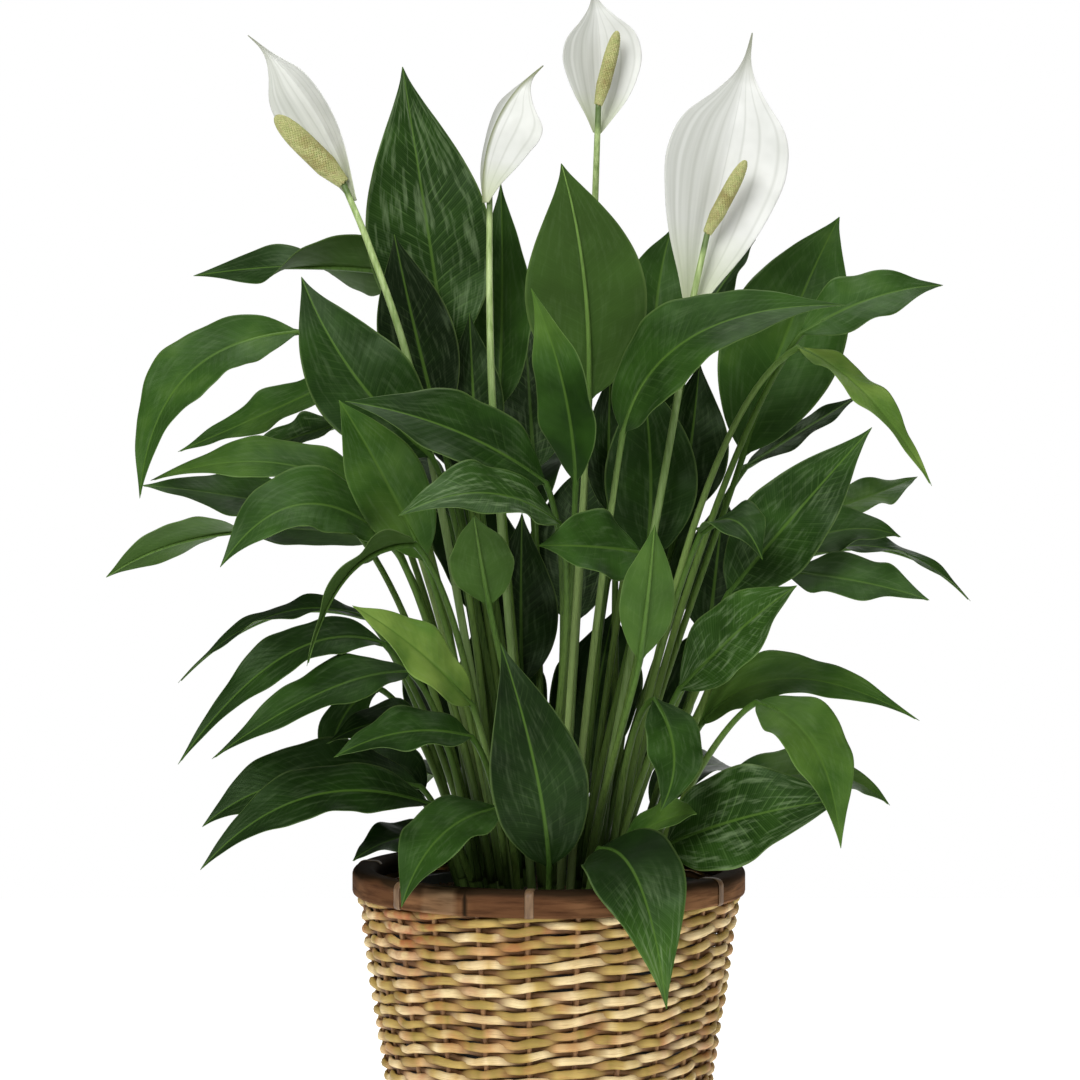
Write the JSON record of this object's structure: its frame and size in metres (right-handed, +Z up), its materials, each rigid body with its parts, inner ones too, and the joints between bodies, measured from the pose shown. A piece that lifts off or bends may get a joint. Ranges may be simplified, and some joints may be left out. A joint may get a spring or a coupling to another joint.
{
  "type": "potted peace lily",
  "caption": "Peace lily with arching pointed leaves and white hooded blooms, in a plastic nursery pot of soil inside a round woven basket with a wooden rim.",
  "frame": {"origin": "centre of the basket's flat underside", "axes": "+Z up along the basket's axis, -Y towards the front that the picture shows, +X to the right as seen from the front"},
  "size_m": [0.51, 0.3325, 0.712],
  "materials": {
    "basket": "matte",
    "rim": "satin",
    "grow_pot": "satin",
    "soil": "matte",
    "leaf": "satin",
    "flower_stem": "satin",
    "spathe": "satin",
    "spadix": "matte"
  },
  "bodies": {
    "root": {"basket": "basket", "rim": "rim", "grow_pot": "grow_pot", "soil": "soil", "bloom_left_stem": "flower_stem", "bloom_left_spadix": "spadix", "bloom_left_spathe": "spathe", "bloom_middle_stem": "flower_stem", "bloom_middle_spadix": "spadix", "bloom_middle_spathe": "spathe", "bloom_top_stem": "flower_stem", "bloom_top_spadix": "spadix", "bloom_top_spathe": "spathe", "bloom_right_stem": "flower_stem", "bloom_right_spadix": "spadix", "bloom_right_spathe": "spathe", "leaf_tall_left": "leaf", "leaf_center_tall": "leaf", "leaf_right_tall": "leaf", "leaf_left_arch": "leaf", "leaf_left_twist": "leaf", "leaf_right_sweep": "leaf", "leaf_right_far": "leaf", "leaf_center_wide": "leaf", "leaf_front_dark": "leaf", "leaf_front_hang": "leaf", "leaf_front_left_drop": "leaf", "leaf_right_broad": "leaf", "leaf_right_veined": "leaf", "leaf_right_low_broad": "leaf", "leaf_right_arch": "leaf", "leaf_right_drop_bright": "leaf", "leaf_left_low_broad": "leaf", "leaf_left_low_second": "leaf", "leaf_left_narrow": "leaf", "leaf_left_mid": "leaf", "leaf_left_far": "leaf", "leaf_left_inner": "leaf", "leaf_left_thin_high": "leaf", "leaf_left_mid_low": "leaf", "leaf_left_bright": "leaf", "leaf_left_dark_low": "leaf", "leaf_left_shade": "leaf", "leaf_back_dark": "leaf", "leaf_back_right": "leaf", "leaf_center_back": "leaf", "leaf_right_dark_thin": "leaf", "leaf_right_light": "leaf", "leaf_right_low_back": "leaf", "leaf_center_veined": "leaf", "leaf_center_mid": "leaf", "leaf_back_1": "leaf", "leaf_back_3": "leaf", "leaf_back_5": "leaf", "leaf_back_7": "leaf", "leaf_back_9": "leaf", "leaf_back_11": "leaf", "leaf_back_13": "leaf", "leaf_back_15": "leaf"}
  },
  "joints": []
}
